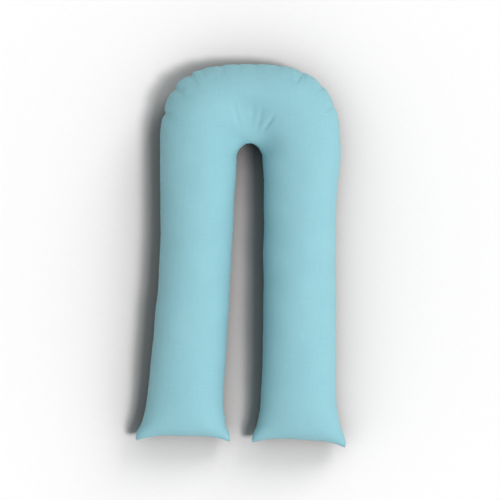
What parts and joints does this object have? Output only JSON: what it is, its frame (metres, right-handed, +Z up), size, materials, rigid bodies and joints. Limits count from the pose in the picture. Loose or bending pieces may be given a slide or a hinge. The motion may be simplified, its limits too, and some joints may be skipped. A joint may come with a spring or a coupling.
{
  "type": "body pillow",
  "caption": "Long U-shaped body pillow: one stuffed cloth tube bent into a U, with a perimeter seam, gathered bend and flat-sewn leg ends with pointed corners.",
  "frame": {"origin": "on the surface that the pillow lies on, under the middle of its bounding box", "axes": "+Y from the legs' ends to the bend, +X across the legs to the right as seen from above with the bend away, +Z up from the surface"},
  "size_m": [0.826, 1.4973, 0.1991],
  "materials": {
    "plain_cotton": "matte piece-dyed pale aqua plain-weave cotton"
  },
  "bodies": {
    "root": {"body_pillow": "plain_cotton"}
  },
  "joints": []
}
